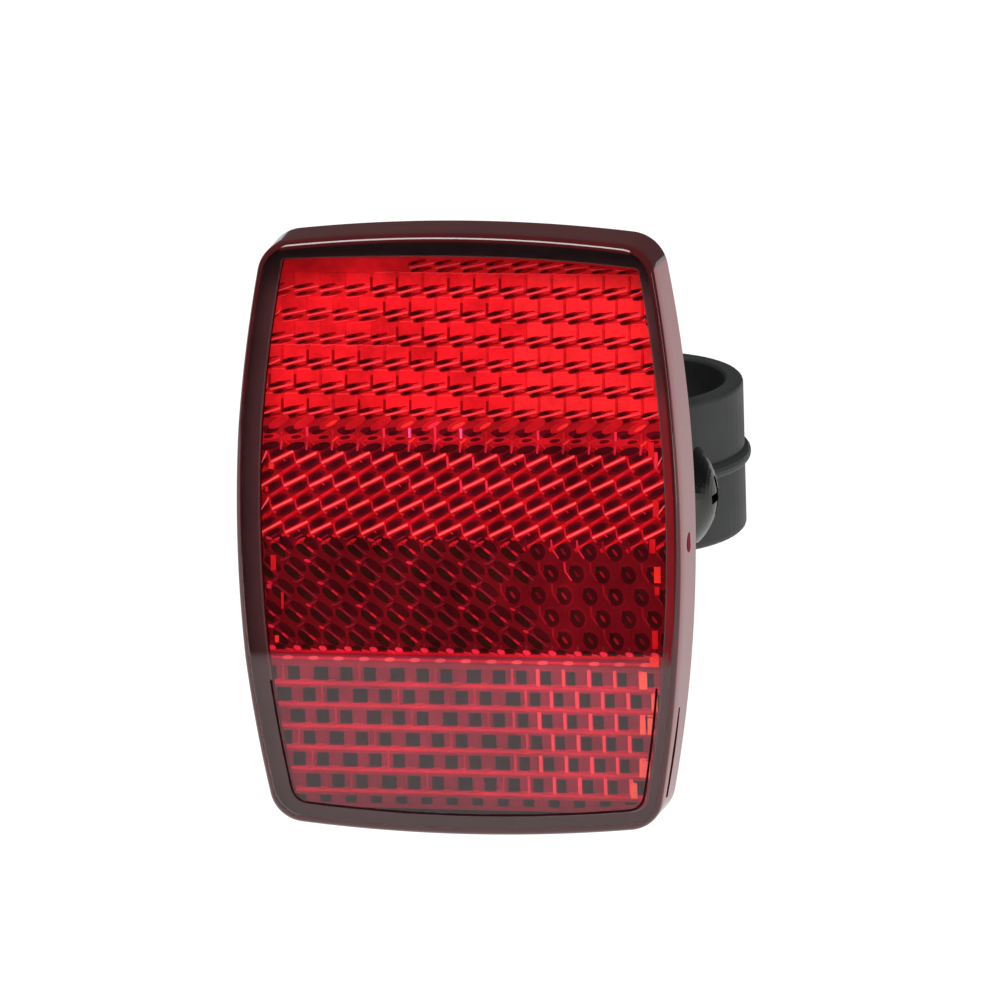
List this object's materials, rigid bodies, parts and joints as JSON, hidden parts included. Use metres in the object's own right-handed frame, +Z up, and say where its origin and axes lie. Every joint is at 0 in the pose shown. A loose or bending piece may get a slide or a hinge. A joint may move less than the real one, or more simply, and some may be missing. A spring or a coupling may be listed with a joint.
{
  "type": "bicycle rear reflector",
  "caption": "Red barrel-sided corner-cube reflector with a black back cover, tilting on a split clamp band for a bicycle seat post.",
  "frame": {"origin": "middle of the clamp band's bore", "axes": "+Z up along the post's axis, the reflector faces -Y, +X to the right seen from the front"},
  "size_m": [0.0669, 0.0637, 0.0868],
  "materials": {
    "red_lens": "clear red acrylic, polished mould",
    "black_cover": "black ABS, satin",
    "black_nylon": "black nylon, fine spark-eroded texture",
    "zinc_steel": "bright zinc plated"
  },
  "bodies": {
    "clamp": {"clamp_band": "black_nylon", "clamp_screw": "zinc_steel", "clamp_nut": "zinc_steel"},
    "reflector": {"reflector_lens": "red_lens", "back_cover": "black_cover", "bracket_arm": "black_nylon", "rear_bolt": "zinc_steel", "arm_washer": "zinc_steel", "arm_nut": "zinc_steel"}
  },
  "joints": [
    {"name": "tilt", "type": "hinge", "parent": "clamp", "child": "reflector", "pos_m": [0, -0.0214, 0], "axis": [1, 0, 0], "range_deg": [-20, 20]}
  ]
}
